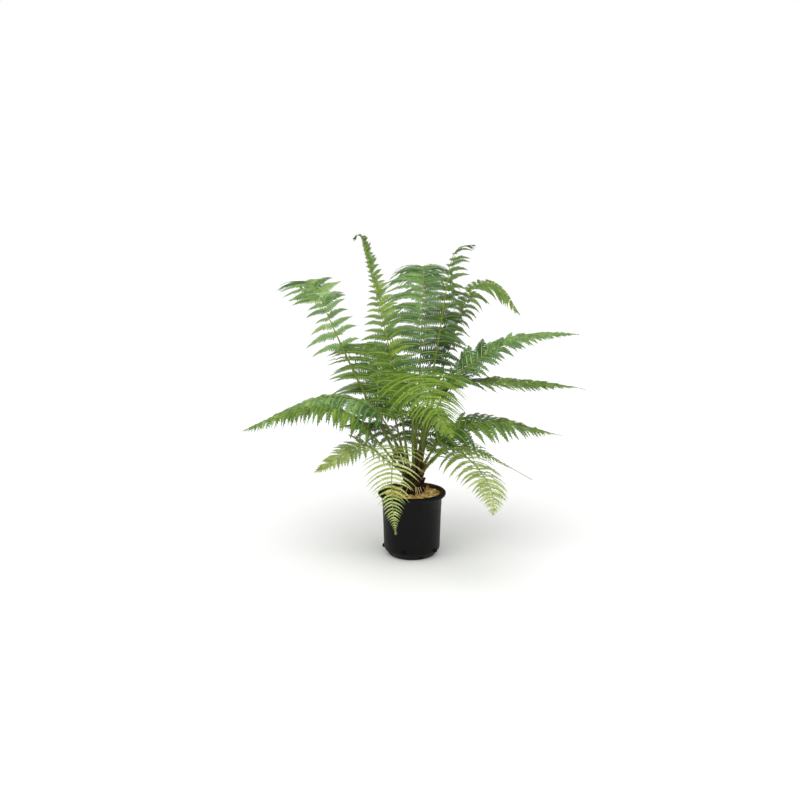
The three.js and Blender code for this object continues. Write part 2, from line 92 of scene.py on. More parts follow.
# One row per frond for its leaflets: the longest in mm, how fast they shorten to the tip, how far
# they hang, the blade's roll about its rib, how far leaflets point forward, their width and
# spacing against the common ones, the lengths on either hand as shares of the outline's, their
# palette, and where in it they begin and end. Roll, forward, spacing, hands and greens all run
# from the blade's foot to its tip.
EVEN = ((1, 1), (1, 1))
LEAFLET_FIELDS = "name spread taper sag roll forward width pitch hands palette green".split()
LEAFLET_ROWS = (
    ("tall_left", 105, 0.5, 0.3, (-62, 0), (14, 46), 1.0, (1.15, 1.5),
     ((0.9, 1.05, 0.3, 0.15), (1, 0.9, 0.9, 1.2)), "leafy", (3.3, 2.6)),
    ("back_crest", 185, 0.32, 0.4, (0, 0), (8, 16), 1.0, (1.15, 0.75),
     EVEN, "cool", (2.4, 0.4)),
    ("right_arch", 125, 0.6, 0.6, (0, 50), (14, 30), 0.85, (1.1, 1.1),
     ((1.25, 0.9, 0.1), (0.35, 0.45, 1.3, 0.7)), "leafy", (4.2, 2.4)),
    ("tall_back", 95, 0.7, 0.4, (0, 0), (14, 46), 1.1, (1.5, 1.9),
     ((0.7, 0.4, 0), (1, 1.1)), "leafy", (4.6, 4.0)),
    ("left_upper", 165, 0.25, 0.25, (-62, 0), (4, 24), 1.1, (1.4, 0.9),
     ((1.1, 0.4, 0.95, 1), (0.6, 0.5, 0.8, 0.8)), "cool", (1.8, 0.4)),
    ("left_back", 190, 0.8, 0.3, (0, 0), (14, 36), 1.25, (0.9, 0.8),
     ((1.15, 1.15), (1, 1)), "leafy", (3.2, 2.4)),
    ("left_long", 145, 0.9, 0.75, (-10, -6), (8, 32), 1.1, (0.85, 0.85),
     ((1, 1), (0.9, 1)), "cool", (1.8, 0.6)),
    ("left_low", 120, 0.9, 0.6, (-6, -4), (10, 34), 1.1, (0.85, 0.85),
     EVEN, "leafy", (3.2, 2.0)),
    ("front_left", 92, 0.9, 0.15, (-22, -26), (10, 40), 1.0, (0.9, 0.9),
     EVEN, "pale", (3.0, 2.0)),
    ("front_drooping", 145, 1.3, 0.25, (0, 0), (6, 28), 0.43, (1.0, 1.0),
     EVEN, "pale", (2.6, 0.4)),
    ("front_right", 135, 1.0, 0.3, (-6, -10), (10, 30), 0.72, (1.0, 1.0),
     ((0.5, 1.1, 1, 1, 1), (0.5, 1.1, 1, 1, 1)), "pale", (3.0, 1.4)),
    ("right_low", 85, 1.4, 0.2, (8, 6), (30, 56), 1.0, (0.9, 1.1),
     ((1, 1, 0.5, 0.15), (1, 1, 0.5, 0.15)), "leafy", (3.2, 2.6)),
    ("right_middle", 120, 1.0, 0.3, (22, 14), (14, 44), 1.15, (1.0, 1.0),
     ((1, 1, 1, 0.9, 0.3), (1.1, 1.1, 1.1, 1, 0.3)), "leafy", (4.2, 2.4)),
    ("right_level", 120, 0.8, 0.15, (10, 12), (34, 48), 1.2, (0.9, 0.85),
     ((0.9, 0.9, 1.2, 0.9, 0.2), (0.8, 0.8, 0.9, 0.7, 0.2)), "leafy", (4.0, 2.6)),
    ("right_rising", 120, 1.0, 0.25, (24, 20), (22, 48), 1.25, (0.85, 0.85),
     ((1.1, 1), (0.8, 0.8)), "cool", (2.2, 1.0)),
    ("front_arch", 215, 1.0, 0.3, (0, 0), (4, 34), 0.6, (0.65, 0.65),
     EVEN, "fresh", (2.6, 1.3)),
    ("back_left_low", 110, 1.0, 0.5, (0, 0), (14, 44), 1.3, (1.0, 1.0),
     EVEN, "leafy", (4.4, 3.6)),
    ("back_low", 150, 1.1, 0.5, (0, 0), (14, 44), 1.4, (0.9, 0.9),
     EVEN, "leafy", (4.6, 3.4)),
    ("back_right_low", 110, 1.1, 0.4, (10, 6), (14, 44), 1.2, (0.9, 0.9),
     EVEN, "fresh", (3.0, 1.8)),
)
for frond, row in zip(FRONDS, LEAFLET_ROWS):
    frond.update(zip(LEAFLET_FIELDS, row))

# Coiled young fronds: foot angle and distance from the trunk's middle, heading, lean, length,
# coil in degrees, where the coil starts, and the stalk's radius.
CROZIERS = {
    "left": (228, 14, 205, 22, 178, 400, 0.45, 7.0),
    "middle": (0, 0, 330, 4, 150, 380, 0.46, 6.0),
}

# Greens of the leaflets, from new growth to old. Each frond deals them out from its foot to its
# tip, so that neighbours are much alike.
PALETTES = {
    "leafy": ("#AAB04C", "#8A9B34", "#6B8827", "#52731F", "#405F1A", "#304A14", "#233910"),
    "cool": ("#86A45E", "#688C48", "#4C7037", "#365329"),
    "pale": ("#BCC488", "#A2B068", "#84974A", "#62792F"),
    "fresh": ("#9AAE34", "#7F9A28", "#64831E", "#4C6A18"),
}


# ---- Sizes and colours that a user would change -----------------------------------------------


def length(name, millimetres, description):
    """A length property, given in millimetres and kept in metres."""
    return bpy.props.FloatProperty(
        name=name, description=description, default=millimetres * MM, subtype="DISTANCE"
    )


def as_hex(values):
    """The sRGB hex of a linear colour."""
    parts = [12.92 * c if c < 0.0031308 else 1.055 * c ** (1 / 2.4) - 0.055 for c in values[:3]]
    return "#%02X%02X%02X" % tuple(round(255 * c) for c in parts)


def colour(name, value, description):
    """A colour property with its default as sRGB hex."""
    return bpy.props.FloatVectorProperty(
        name=name, description=description, default=linear(value)[:3], size=3,
        subtype="COLOR", min=0.0, max=1.0,
    )


def linear(value):
    """sRGB hex to linear RGBA."""
    parts = [int(value[i : i + 2], 16) / 255 for i in (1, 3, 5)]
    return (*[c / 12.92 if c <= 0.04045 else ((c + 0.055) / 1.055) ** 2.4 for c in parts], 1.0)


class FERN_PG_pot(bpy.types.PropertyGroup):
    """Sizes and colour of the pot."""

    height: length("Height", 240, "Height over the rim")
    rim_radius: length("Rim radius", 125, "Radius over the rolled rim")
    rim_height: length("Rim height", 18, "Height of the rolled rim")
    wall_top: length("Wall radius at top", 110, "Outer radius under the rim")
    wall_foot: length("Wall radius at foot", 103, "Outer radius above the chamfer")
    foot_height: length("Chamfer height", 26, "Height of the chamfer at the foot")
    foot_radius: length("Foot radius", 84, "Radius of the flat underside")
    wall: length("Wall", 2.6, "Thickness of the wall")
    drain_radius: length("Drain radius", 8, "Radius of a drainage hole")
    lug_reach: length("Lug reach", 6, "How far the lugs stand out")
    lugs: bpy.props.IntProperty(name="Lugs", description="Lugs and drainage holes", default=5)
    plastic: colour("Plastic", "#060706", "Colour of the pot")


class FERN_PG_mulch(bpy.types.PropertyGroup):
    """Sizes and colours of the mulch."""

    below: length("Below rim", 15.7, "Level of the mulch under the rim, at the wall")
    mound: length("Mound", 8, "Rise of the mulch to the trunk")
    chip: length("Chip", 19, "Length of a common chip of bark")
    chips: bpy.props.IntProperty(name="Chips", description="Number of chips", default=900)
    bark: colour("Bark", "#D2B068", "Colour of the fine bark under the chips")
    straw: colour("Straw", "#CDB98A", "Colour of the dead strands that lie on the mulch")


class FERN_PG_trunk(bpy.types.PropertyGroup):
    """Sizes and colours of the trunk."""

    x: length("Offset", 4, "Distance of the trunk from the pot's axis")
    height: length("Height", 84, "Height over the mulch")
    foot: length("Foot radius", 44, "Radius at the mulch")
    waist: length("Waist radius", 34, "Radius of the waist")
    top: length("Top radius", 37, "Radius under the crown")
    stubs: bpy.props.IntProperty(name="Stubs", description="Bases of old stalks", default=34)
    fibres: bpy.props.IntProperty(name="Fibres", description="Loose fibres", default=2600)
    fibre: colour("Fibre", "#1D140C", "Colour of the matted fibre")
    stub: colour("Stub", "#352014", "Colour of the old stalks' bases")


class FERN_PG_crown(bpy.types.PropertyGroup):
    """Sizes and colours of the stalks and their leaflets."""

    inner: length("Inner ring", 14, "Radius of the inner ring of stalks")
    outer: length("Outer ring", 29.5, "Radius of the outer ring of stalks")
    sink: length("Sink", 16, "Depth of the stalks' feet in the trunk's top")
    stalk_foot: length("Stalk foot", 6.2, "Radius of a stalk at its foot")
    stalk_neck: length("Stalk neck", 3.6, "Radius of a stalk where the blade starts")
    rib_tip: length("Rib tip", 0.7, "Radius of the rib at the tip")
    first_pitch: length("First pitch", 34, "Spacing of the leaflets at the blade's start")
    last_pitch: length("Last pitch", 6, "Spacing of the leaflets at the tip")
    lobe: length("Lobe", 8, "Width of a leaflet's lobes")
    stalk: colour("Stalk", "#5C6A24", "Colour of the stalks above their brown feet")
    rib: colour("Rib", "#8C9A44", "Colour of the ribs at their tips")
    spent: colour("Spent leaflet", "#8B8040", "Colour of a leaflet that has died back")


class FERN_PG_greens(bpy.types.PropertyGroup):
    """The greens of each palette, from new growth to old."""

    __annotations__ = {
        f"{palette}_{i}": colour(f"{palette} {i}".capitalize(), value, "A green of the leaflets")
        for palette, values in PALETTES.items()
        for i, value in enumerate(values, 1)
    }


SETTINGS = {"pot": FERN_PG_pot, "mulch": FERN_PG_mulch, "trunk": FERN_PG_trunk,
            "crown": FERN_PG_crown, "greens": FERN_PG_greens}


def settings(context, name):
    """The scene's settings of one group."""
    return getattr(context.scene, "fern_" + name)


# ---- Mesh helpers -----------------------------------------------------------------------------


def mix(a, b, t):
    """The value a share t of the way from a to b."""
    return a + (b - a) * t


def smooth(value, low, high):
    """0 under low and 1 over high, with an easy rise between."""
    t = np.clip((value - low) / (high - low), 0, 1)
    return t * t * (3 - 2 * t)


def unit(v):
    """Vectors scaled to length 1."""
    return v / np.maximum(np.linalg.norm(v, axis=-1, keepdims=True), 1e-12)


def finish_piece(name, bm, materials, replaced=(), shade_smooth=True):
    """Turns a bmesh into a piece that rides on the body."""
    mesh = bpy.data.meshes.new(name)
    bm.to_mesh(mesh)
    bm.free()
    return dress_piece(name, mesh, materials, replaced, shade_smooth)


def dress_piece(name, mesh, materials, replaced, shade_smooth=True):
    """Gives a mesh its materials and makes it a piece that rides on the body."""
    if not len(mesh.polygons):
        raise RuntimeError(f"{name} has no faces")
    for material in materials:
        mesh.materials.append(material)
    mesh.polygons.foreach_set("use_smooth", [shade_smooth] * len(mesh.polygons))
    piece = bpy.data.objects.new(name, mesh)
    bpy.context.scene.collection.objects.link(piece)
    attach(piece, BODY)
    if replaced:
        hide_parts(*replaced)
    return piece


def rolled_grid(bm, along, around, place):
    """A grid rolled into a tube: place(u, v) is the point for u along it and v round it."""
    uv = bm.loops.layers.uv.verify()
    made = bmesh.ops.create_grid(
        bm, x_segments=along, y_segments=around, size=0.5, calc_uvs=True
    )["verts"]
    for vert in made:
        vert.co = place(vert.co.x + 0.5, vert.co.y + 0.5)
    bmesh.ops.remove_doubles(bm, verts=made, dist=1e-6)
    return uv


# ---- Materials --------------------------------------------------------------------------------


def add_node(tree, kind, inputs=None, **values):
    """A node with its properties set, and its inputs set or linked."""
    node = tree.nodes.new(kind)
    for key, value in values.items():
        setattr(node, key, value)
    for key, value in (inputs or {}).items():
        if isinstance(value, bpy.types.NodeSocket):
            tree.links.new(value, node.inputs[key])
        else:
            node.inputs[key].default_value = value
    return node


def new_material(name, **constants):
    """A material with a Principled shader, whose unlinked sockets are set here."""
    material = bpy.data.materials.new(name)
    material.use_nodes = True
    shader = material.node_tree.nodes["Principled BSDF"]
    for key, value in constants.items():
        shader.inputs[key.replace("_", " ")].default_value = value
    return material, material.node_tree, shader


def ramp_node(tree, factor, stops):
    """A colour ramp from (place, hex) stops."""
    node = add_node(tree, "ShaderNodeValToRGB", {"Fac": factor})
    elements = node.color_ramp.elements
    while len(elements) < len(stops):
        elements.new(0.5)
    for element, (place, value) in zip(elements, stops):
        element.position = place
        element.color = linear(value)
    return node.outputs["Color"]


def per_metre(millimetres):
    """A texture's Scale for features of this size."""
    return 1 / (millimetres * MM)


def shade(value, factor):
    """A hex colour made lighter or darker."""
    parts = [min(255, round(int(value[i : i + 2], 16) * factor)) for i in (1, 3, 5)]
    return "#%02X%02X%02X" % tuple(parts)


def object_noise(tree, millimetres, detail=2.0, roughness=0.5, stretch=None):
    """Noise with features of this size, fixed to the object."""
    where = add_node(tree, "ShaderNodeTexCoord").outputs["Object"]
    if stretch:
        where = add_node(
            tree, "ShaderNodeMapping", {"Vector": where, "Scale": stretch}
        ).outputs["Vector"]
    return add_node(
        tree, "ShaderNodeTexNoise",
        {"Vector": where, "Scale": per_metre(millimetres), "Detail": detail, "Roughness": roughness},
    ).outputs["Fac"]


def add_bump(tree, shader, height, millimetres, strength=1.0):
    """Relief of this depth from a height between 0 and 1."""
    bump = add_node(
        tree, "ShaderNodeBump",
        {"Height": height, "Distance": millimetres * MM, "Strength": strength},
    )
    tree.links.new(bump.outputs["Normal"], shader.inputs["Normal"])


def spread_roughness(tree, shader, factor, low, high):
    """Roughness that runs from low to high with a factor."""
    node = add_node(
        tree, "ShaderNodeMapRange", {"Value": factor, "To Min": low, "To Max": high}
    )
    tree.links.new(node.outputs["Result"], shader.inputs["Roughness"])


def leaf_material(name, value):
    """Fern leaflet, thin and leathery: a soft waxy gloss over green that mottles between veins."""
    material, tree, shader = new_material(name, IOR=1.45, Specular_IOR_Level=0.25)
    mottle = object_noise(tree, 14, detail=3.0)
    stops = [(0.3, shade(value, 0.84)), (0.52, value), (0.74, shade(value, 1.14))]
    tree.links.new(ramp_node(tree, mottle, stops), shader.inputs["Base Color"])
    # The real veins are 1 mm apart; 2.5 mm is the finest that shows.
    veins = object_noise(tree, 2.5, detail=2.0)
    spread_roughness(tree, shader, veins, low=0.42, high=0.62)
    add_bump(tree, shader, veins, millimetres=0.5, strength=0.5)
    return material


def vein_material():
    """Midrib of a leaflet, smooth and paler than the blade, so each leaflet has a light line."""
    material, tree, shader = new_material("Leaflet midrib", IOR=1.45, Specular_IOR_Level=0.4)
    tone = object_noise(tree, 20)
    stops = [(0.35, "#7F9A4A"), (0.65, "#A9B768")]
    tree.links.new(ramp_node(tree, tone, stops), shader.inputs["Base Color"])
    spread_roughness(tree, shader, tone, low=0.4, high=0.55)
    return material


def stalk_material(stalk, rib):
    """Fern stalk, ribbed and fleshy: brown and scurfy at the foot, olive above, light at the tip."""
    material, tree, shader = new_material("Fern stalk", IOR=1.45, Specular_IOR_Level=0.4)
    along = add_node(
        tree, "ShaderNodeSeparateXYZ", {"Vector": add_node(tree, "ShaderNodeUVMap").outputs["UV"]}
    ).outputs["X"]
    scurf = object_noise(tree, 5, detail=4.0, roughness=0.6)
    shifted = add_node(
        tree, "ShaderNodeMath",
        {0: scurf, 1: 0.16, 2: along}, operation="MULTIPLY_ADD",
    ).outputs["Value"]
    stops = [(0.08, "#2A160D"), (0.11, "#603A1E"), (0.145, "#5C5422"), (0.2, stalk),
             (0.6, shade(stalk, 1.12)), (1.0, rib)]
    tree.links.new(ramp_node(tree, shifted, stops), shader.inputs["Base Color"])
    spread_roughness(tree, shader, scurf, low=0.38, high=0.7)
    add_bump(tree, shader, scurf, millimetres=0.6, strength=0.6)
    return material


def fibre_material(name, stops, size):
    """Dry matted fibre and papery scales: dull, broken up along the strands."""
    material, tree, shader = new_material(name, IOR=1.45, Specular_IOR_Level=0.2)
    strands = object_noise(tree, size, detail=4.0, roughness=0.65, stretch=(1.0, 1.0, 0.25))
    tree.links.new(ramp_node(tree, strands, stops), shader.inputs["Base Color"])
    spread_roughness(tree, shader, strands, low=0.75, high=0.95)
    add_bump(tree, shader, strands, millimetres=1.2, strength=0.8)
    return material


def bark_material(name, value):
    """Shredded conifer bark, dry: matt, with darker grain and lighter broken edges."""
    material, tree, shader = new_material(name, IOR=1.5, Specular_IOR_Level=0.2)
    grain = object_noise(tree, 5, detail=4.0, roughness=0.6)
    stops = [(0.3, shade(value, 0.66)), (0.5, value), (0.75, shade(value, 1.15))]
    tree.links.new(ramp_node(tree, grain, stops), shader.inputs["Base Color"])
    spread_roughness(tree, shader, grain, low=0.8, high=0.95)
    add_bump(tree, shader, grain, millimetres=0.8, strength=0.7)
    return material


def pot_materials(plastic):
    """Blow-moulded polyethylene, black: half matt with a faint pebble, with lighter streaks up the
    wall that are partly scuffs and dust and partly painted highlight, and soil-stained on its inside.
    """
    made = []
    for name, dust in (("Moulded polyethylene", 0.0), ("Soil-stained polyethylene", 1.0)):
        material, tree, shader = new_material(name, IOR=1.5, Specular_IOR_Level=0.14)
        pebble = object_noise(tree, 2.2, detail=2.0)
        # Streaks stretched up the wall: partly scuffs and dust, partly a painted highlight that
        # stands in for the plastic's sheen.
        scuffs_and_painted_highlight = object_noise(tree, 38, detail=5.0, roughness=0.62, stretch=(1.0, 1.0, 0.45))
        base = as_hex(plastic)
        if dust:
            stops = [(0.3, "#241812"), (0.48, "#4A2E1C"), (0.66, "#6B4A2A")]
        else:
            # The lighter stops are partly scuffs and dust, partly painted highlight streaks.
            stops = [(0.5, base), (0.7, shade(base, 1.3)), (0.85, "#3A362F")]
        tree.links.new(ramp_node(tree, scuffs_and_painted_highlight, stops), shader.inputs["Base Color"])
        spread_roughness(tree, shader, scuffs_and_painted_highlight, 0.36 + 0.3 * dust, 0.62 + 0.25 * dust)
        add_bump(tree, shader, pebble, millimetres=0.25, strength=0.5)
        made.append(material)
    return made


# ---- Pot --------------------------------------------------------------------------------------


def pot_profile(pot):
    """Half section of the pot as (radius, height), from the underside's middle to the inner floor."""
    rim_foot = pot.height - pot.rim_height
    roll = pot.rim_height / 2

    def wall(height):
        return mix(pot.wall_foot, pot.wall_top,
                   (height - pot.foot_height) / (pot.height - pot.foot_height))

    points = [(0, 0), (pot.foot_radius - 14 * MM, 0), (pot.foot_radius - 3 * MM, 0),
              (pot.foot_radius, 1.2 * MM)]
    points += [(mix(pot.foot_radius, pot.wall_foot, t), mix(1.2 * MM, pot.foot_height, t))
               for t in (0.3, 0.6, 0.9)]
    points += [(wall(pot.foot_height) + 0.4 * MM, pot.foot_height + 2 * MM)]
    # A shallow moulded step goes round the wall a little under the rim.
    step = pot.height * 0.79
    points += [(wall(pot.height * level), pot.height * level) for level in (0.3, 0.55, 0.78)]
    points += [(wall(step), step), (wall(step) + 0.9 * MM, step + 1.5 * MM),
               (wall(rim_foot), rim_foot - 3 * MM)]
    # The rolled rim: out from the wall, round, and back over the inner edge.
    centre = (pot.rim_radius - roll, rim_foot + roll)
    points += [(wall(rim_foot) + 3.2 * MM, rim_foot)]
    points += [(centre[0] + roll * math.cos(a), centre[1] + roll * math.sin(a))
               for a in np.radians([-90, -60, -30, 0, 30, 60, 90])]
    inner = wall(pot.height) - pot.wall
    points += [(inner + 4.5 * MM, pot.height), (inner + 1.5 * MM, pot.height - 1.5 * MM),
               (inner, pot.height - 5 * MM)]
    points += [(wall(pot.height * level) - pot.wall, pot.height * level) for level in (0.8, 0.5, 0.2)]
    points += [(pot.wall_foot - pot.wall, pot.foot_height + 1 * MM),
               (pot.foot_radius - 1 * MM, pot.wall), (0, pot.wall)]
    return points


class FERN_OT_pot(bpy.types.Operator):
    """The blow-moulded pot, with its rolled rim, chamfered foot, lugs and drainage holes"""

    bl_idname = "fern.pot"
    bl_label = "Pot"

    def execute(self, context):
        pot = settings(context, "pot")
        bm = bmesh.new()
        verts = [bm.verts.new((radius, 0, height)) for radius, height in pot_profile(pot)]
        edges = [bm.edges.new(pair) for pair in zip(verts, verts[1:])]
        bmesh.ops.spin(
            bm, geom=verts + edges, cent=(0, 0, 0), axis=(0, 0, 1), angle=math.tau,
            steps=120, use_merge=True,
        )
        bmesh.ops.remove_doubles(bm, verts=bm.verts, dist=1e-5)
        # Two mould lines stand a little proud, front to back.
        for vert in bm.verts:
            turn = math.atan2(vert.co.y, vert.co.x)
            reach = math.hypot(vert.co.x, vert.co.y)
            outside = reach > pot.wall_foot - 1.2 * MM and vert.co.z > pot.foot_height
            if outside and abs(abs(turn) - math.radians(72)) < math.radians(1):
                vert.co.xy *= 1 + 0.5 * MM / reach
        for i in range(pot.lugs):
            self.add_lug(bm, pot, math.pi + math.tau * i / pot.lugs)
        bmesh.ops.recalc_face_normals(bm, faces=bm.faces)
        stained = 1
        for face in bm.faces:
            middle = face.calc_center_median()
            inward = face.normal.x * middle.x + face.normal.y * middle.y < -1e-4
            if inward and middle.z > pot.wall * 2:
                face.material_index = stained
        piece = finish_piece(
            "nursery_pot", bm, pot_materials(pot.plastic), ["pot"]
        )
        self.drill(piece, pot)
        return {"FINISHED"}

    def add_lug(self, bm, pot, turn):
        """A rounded block moulded on the chamfer's upper edge."""
        made = bmesh.ops.create_cube(bm, size=1)["verts"]
        size = (pot.lug_reach + 4 * MM, 15 * MM, 11 * MM)
        bmesh.ops.scale(bm, vec=size, verts=made)
        place = Vector((pot.wall_foot + pot.lug_reach - size[0] / 2, 0, pot.foot_height + 3 * MM))
        bmesh.ops.translate(bm, vec=place, verts=made)
        edges = list({edge for vert in made for edge in vert.link_edges})
        rounded = bmesh.ops.bevel(
            bm, geom=edges, offset=2 * MM, offset_type="OFFSET", segments=2, profile=0.5,
            affect="EDGES", material=-1,
        )["verts"]
        block = {vert for face in rounded[0].link_faces for vert in face.verts}
        for _ in range(12):
            block |= {other for vert in block for edge in vert.link_edges for other in edge.verts}
        bmesh.ops.rotate(
            bm, cent=(0, 0, 0), matrix=Matrix.Rotation(turn, 3, "Z"), verts=list(block)
        )

    def drill(self, piece, pot):
        """Cuts the drainage holes through the chamfer."""
        bm = bmesh.new()
        for i in range(pot.lugs):
            turn = math.pi + math.tau * (i + 0.5) / pot.lugs
            place = Matrix.Rotation(turn, 4, "Z") @ Matrix.Translation(
                ((pot.foot_radius + pot.wall_foot) / 2, 0, pot.foot_height / 2)
            )
            bmesh.ops.create_cone(
                bm, cap_ends=True, segments=28, radius1=pot.drain_radius,
                radius2=pot.drain_radius, depth=32 * MM,
                matrix=place @ Matrix.Rotation(math.radians(90), 4, "Y"),
            )
        mesh = bpy.data.meshes.new("drills")
        bm.to_mesh(mesh)
        bm.free()
        drills = bpy.data.objects.new("drills", mesh)
        bpy.context.scene.collection.objects.link(drills)
        cut = piece.modifiers.new("Drainage holes", "BOOLEAN")
        cut.object = drills
        cut.operation = "DIFFERENCE"
        cut.solver = "EXACT"
        bpy.context.view_layer.update()
        cut_mesh = bpy.data.meshes.new_from_object(
            piece.evaluated_get(bpy.context.evaluated_depsgraph_get())
        )
        piece.modifiers.remove(cut)
        if not len(cut_mesh.polygons):
            raise RuntimeError("the drainage holes removed the pot")
        piece.data = cut_mesh
        bpy.data.objects.remove(drills)


# ---- Potting mix and mulch --------------------------------------------------------------------


def mulch_height(pot, mulch, radius):
    """Level of the mulch at a distance from the pot's middle."""
    rise = 1 - smooth(radius, 0.055, pot.wall_top - 4 * MM)
    return pot.height - mulch.below + mulch.mound * rise


class FERN_OT_mulch(bpy.types.Operator):
    """The bed of bark mulch and its loose chips, over the potting mix"""

    bl_idname = "fern.mulch"
    bl_label = "Mulch"

    def execute(self, context):
        pot, mulch = settings(context, "pot"), settings(context, "mulch")
        mix_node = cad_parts["root_ball"]
        mix_stops = [(0.35, "#2A1C12"), (0.6, "#4A3322"), (0.8, "#6A4D32")]
        mix_node.data.materials.clear()
        mix_node.data.materials.append(fibre_material("Peat and bark mix", mix_stops, 7))
        edge = pot.wall_top - pot.wall - 1.6 * MM
        bed_foot = pot.height - mulch.below - 12 * MM
        under_chips = 3 * MM
        skirt = 0.9  # share of the grid that is the bed's top; the rest goes down at the wall

        def bed(u, v):
            radius = edge * min(1.0, u / skirt)
            turn = math.tau * v
            point = Vector((radius * math.cos(turn), radius * math.sin(turn), 0))
            level = mulch_height(pot, mulch, radius)
            if u > skirt:
                point.z = mix(level, bed_foot, (u - skirt) / (1 - skirt)) - under_chips
                return point
            lumps = noise.noise(point * 60) * 3 * MM + noise.noise(point * 170) * 1.8 * MM
            point.z = level - under_chips + lumps
            return point

        bm = bmesh.new()
        rolled_grid(bm, along=40, around=72, place=bed)
        bmesh.ops.recalc_face_normals(bm, faces=bm.faces)
        finish_piece("mulch_bed", bm, [bark_material("Fine bark", as_hex(mulch.bark))],
                     ["mulch"])
        self.scatter_chips(pot, mulch, edge)
        self.lay_straw(context, pot, mulch)
        return {"FINISHED"}

    def lay_straw(self, context, pot, mulch):
        """Dead strands that hang from the trunk's foot and lie across the mulch."""
        trunk = settings(context, "trunk")
        rng = np.random.default_rng(3)
        bm = bmesh.new()
        turns = (282, 288, 297, 309, 330, 20, 75, 118, 160, 205, 240)
        for turn in turns:
            heading = math.radians(turn)
            reach = rng.uniform(38, 54) * MM
            sway = rng.uniform(-0.25, 0.25)
            points = []
            for step in range(7):
                share = step / 6
                radius = trunk.foot * 0.9 + reach * share
                angle = heading + sway * share**2
                height = mulch_height(pot, mulch, radius) + (3 + 26 * (1 - share) ** 3) * MM
                points.append(Vector((trunk.x + radius * math.cos(angle),
                                      radius * math.sin(angle), height)))
            add_strand(bm, points, rng.uniform(2.2, 3.6) * MM, Vector(WORLD_UP))
        straw = as_hex(mulch.straw)
        stops = [(0.3, shade(straw, 0.7)), (0.5, straw), (0.72, shade(straw, 1.12))]
        finish_piece("straw", bm, [fibre_material("Dead frond straw", stops, 6)])

    def scatter_chips(self, pot, mulch, edge):
        """Loose chips of bark, each a broken slip laid at its own tilt."""
        rng = np.random.default_rng(11)
        tints = ("#F0DC9C", "#E0C06C", "#C49E4C", "#8E6E36", "#BC8C48")
        shares = (0.26, 0.34, 0.22, 0.1, 0.08)
        bm = bmesh.new()
        for _ in range(mulch.chips):
            radius = edge * math.sqrt(rng.uniform(0.08, 0.985))
            turn = rng.uniform(0, math.tau)
            size = mulch.chip * rng.lognormal(-0.15, 0.4)
            made = bmesh.ops.create_cube(bm, size=1)["verts"]
            bmesh.ops.scale(
                bm, vec=(size, size * rng.uniform(0.22, 0.5), rng.uniform(1.4, 3.6) * MM),
                verts=made,
            )
            for vert in made:
                end = 1 - 0.5 * rng.random() if rng.random() < 0.6 else 1
                vert.co.x *= end
                vert.co += Vector(rng.normal(0, 0.7, 3)) * MM
            tilt = Euler((rng.normal(0, 0.22), rng.normal(0, 0.22), rng.uniform(0, math.tau)))
            limit = edge - size * 0.35
            radius = min(radius, limit)
            height = mulch_height(pot, mulch, radius) + rng.uniform(-2.4, 1.8) * MM
            place = Vector((radius * math.cos(turn), radius * math.sin(turn), height))
            bmesh.ops.rotate(bm, cent=(0, 0, 0), matrix=tilt.to_matrix(), verts=made)
            bmesh.ops.translate(bm, vec=place, verts=made)
            tint = int(rng.choice(len(tints), p=shares))
            for face in {face for vert in made for face in vert.link_faces}:
                face.material_index = tint
        materials = [bark_material(f"Bark chip {i + 1}", tint) for i, tint in enumerate(tints)]
        finish_piece("mulch_chips", bm, materials, shade_smooth=False)


# ---- Trunk ------------------------------------------------------------------------------------

GOLDEN_ANGLE = math.radians(137.5)
STUB_END = 0.86  # share of a stub's grid where its side ends and its cut face starts


def trunk_levels():
    """Heights of the trunk's foot and top."""
    low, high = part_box("trunk")
    return low.z, high.z


def trunk_radius(trunk, rise, turn):
    """Radius of the trunk's body at a share of its height and an angle."""
    flare = mix(trunk.waist, trunk.foot, (1 - rise) ** 2.5)
    body = mix(flare, trunk.top, rise**3)
    return body * (1 + 0.06 * math.sin(3 * turn + 5 * rise) + 0.04 * math.sin(5 * turn - 7 * rise))


def add_strand(bm, points, width, normal, material_index=0):
    """A narrow ribbon that ends in a point: a fibre, a hair or a scale."""
    last = len(points) - 1
    made = bmesh.ops.create_grid(bm, x_segments=last, y_segments=1, size=0.5)["verts"]
    for vert in made:
        step = round((vert.co.x + 0.5) * last)
        hand = math.copysign(0.5, vert.co.y)
        along = points[min(step + 1, last)] - points[max(step - 1, 0)]
        taper = 1.02 - step / last
        vert.co = points[step] + along.cross(normal).normalized() * hand * width * taper
    for face in {face for vert in made for face in vert.link_faces}:
        face.material_index = material_index


